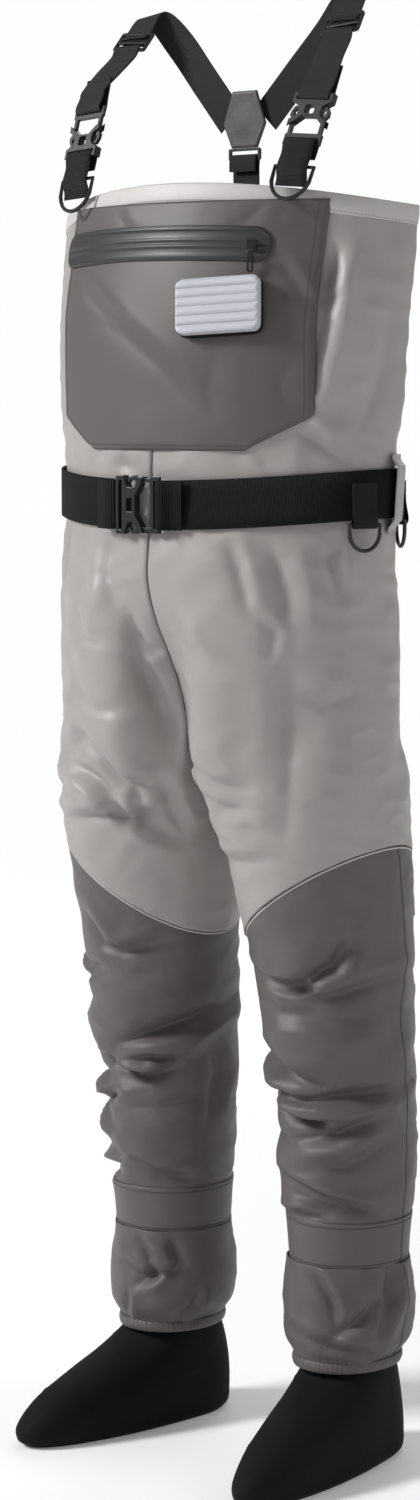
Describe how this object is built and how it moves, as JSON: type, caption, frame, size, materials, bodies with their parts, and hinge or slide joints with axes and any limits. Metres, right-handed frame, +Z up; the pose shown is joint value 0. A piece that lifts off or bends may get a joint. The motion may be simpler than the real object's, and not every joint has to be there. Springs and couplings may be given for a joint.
{
  "type": "chest waders",
  "caption": "Stocking-foot chest waders with zipped chest pocket, releasable shoulder straps, waist belt, gravel guards and neoprene booties.",
  "frame": {"origin": "middle of the ground rectangle that the whole part covers, at the soles", "axes": "+Z up along the height, -Y to the front of the wearer, +X to the left of the wearer"},
  "size_m": [0.4582, 0.277, 1.4889],
  "materials": {
    "light_fabric": "matt",
    "dark_fabric": "matt",
    "neoprene": "matt",
    "moulded_plastic": "satin",
    "webbing": "ribbed",
    "elastic_strap": "matt",
    "foam": "ribbed",
    "hook_loop": "matt",
    "coated_tape": "satin",
    "backing_leather": "smooth"
  },
  "bodies": {
    "garment": {"back_patch": "backing_leather", "back_slider": "moulded_plastic", "back_strap": "elastic_strap", "belt_buckle_female": "moulded_plastic", "belt_loop_back": "light_fabric", "belt_loop_left": "light_fabric", "belt_loop_right": "light_fabric", "belt_webbing": "webbing", "bootie_left": "neoprene", "bootie_right": "neoprene", "calf_left_band": "dark_fabric", "calf_right_band": "dark_fabric", "chest_pocket": "dark_fabric", "collar_hem": "light_fabric", "fly_patch_base": "hook_loop", "guard_left": "dark_fabric", "guard_left_hem": "dark_fabric", "guard_right": "dark_fabric", "guard_right_hem": "dark_fabric", "hip_ring_tab": "webbing", "rear_ring_tab": "webbing", "shin_left_panel": "dark_fabric", "shin_right_panel": "dark_fabric", "strap_left_back": "elastic_strap", "strap_left_buckle_male": "moulded_plastic", "strap_left_front": "elastic_strap", "strap_left_tab": "webbing", "strap_right_back": "elastic_strap", "strap_right_buckle_female": "moulded_plastic", "strap_right_front": "elastic_strap", "strap_right_tab": "webbing", "upper_left_panel": "light_fabric", "upper_right_panel": "light_fabric", "zip_welt": "coated_tape"},
    "zip_runner": {"zip_slider": "moulded_plastic"},
    "zip_puller": {"zip_pull": "moulded_plastic"},
    "patch": {"fly_patch": "foam"},
    "belt_plug": {"belt_buckle_male": "moulded_plastic"},
    "left_strap_socket": {"strap_left_buckle_female": "moulded_plastic"},
    "right_strap_plug": {"strap_right_buckle_male": "moulded_plastic"},
    "left_ring": {"strap_left_d_ring": "moulded_plastic"},
    "right_ring": {"strap_right_d_ring": "moulded_plastic"},
    "hip_ring": {"hip_d_ring": "moulded_plastic"},
    "rear_ring": {"rear_d_ring": "moulded_plastic"},
    "left_length_slider": {"strap_left_slider": "moulded_plastic"},
    "right_length_slider": {"strap_right_slider": "moulded_plastic"}
  },
  "joints": [
    {"name": "zip_travel", "type": "hinge", "parent": "garment", "child": "zip_runner", "pos_m": [0, 0.21321, 1.24], "axis": [0, 0, 1], "range_deg": [-48, 2]},
    {"name": "zip_pull_swing", "type": "hinge", "parent": "zip_runner", "child": "zip_puller", "pos_m": [0.10986, -0.08062, 1.234], "axis": [0.9367, 0.3502, 0], "range_deg": [-120, 0]},
    {"name": "patch_lift", "type": "slide", "parent": "garment", "child": "patch", "axis": [0.2753, -0.9527, 0.1289], "range_m": [0, 0.04]},
    {"name": "belt_release", "type": "slide", "parent": "garment", "child": "belt_plug", "axis": [1, 0, 0], "range_m": [0, 0.045]},
    {"name": "left_strap_release", "type": "slide", "parent": "garment", "child": "left_strap_socket", "axis": [0.0418, 0.3926, 0.9188], "range_m": [0, 0.03], "deforming": ["strap_left_front"]},
    {"name": "right_strap_release", "type": "slide", "parent": "garment", "child": "right_strap_plug", "axis": [-0.033, 0.3101, 0.9501], "range_m": [0, 0.03], "deforming": ["strap_right_front"]},
    {"name": "left_ring_swing", "type": "hinge", "parent": "garment", "child": "left_ring", "pos_m": [0.14077, -0.05006, 1.31387], "axis": [0.9934, 0.0817, -0.0801], "range_deg": [-110, 0]},
    {"name": "right_ring_swing", "type": "hinge", "parent": "garment", "child": "right_ring", "pos_m": [-0.14055, -0.05207, 1.31294], "axis": [0.9944, -0.0857, 0.0625], "range_deg": [-110, 0]},
    {"name": "hip_ring_swing", "type": "hinge", "parent": "garment", "child": "hip_ring", "pos_m": [0.20163, -0.01524, 0.96885], "axis": [0.4647, 0.8855, 0], "range_deg": [-110, 0]},
    {"name": "rear_ring_swing", "type": "hinge", "parent": "garment", "child": "rear_ring", "pos_m": [0.17988, 0.07232, 0.97], "axis": [-0.781, 0.6245, 0], "range_deg": [-110, 0]},
    {"name": "left_length_adjust", "type": "slide", "parent": "garment", "child": "left_length_slider", "axis": [-0.0867, 0.5738, 0.8144], "range_m": [-0.012, 0], "deforming": ["strap_left_back"]},
    {"name": "right_length_adjust", "type": "slide", "parent": "garment", "child": "right_length_slider", "axis": [0.0739, 0.6387, 0.7659], "range_m": [-0.012, 0], "deforming": ["strap_right_back"]}
  ]
}
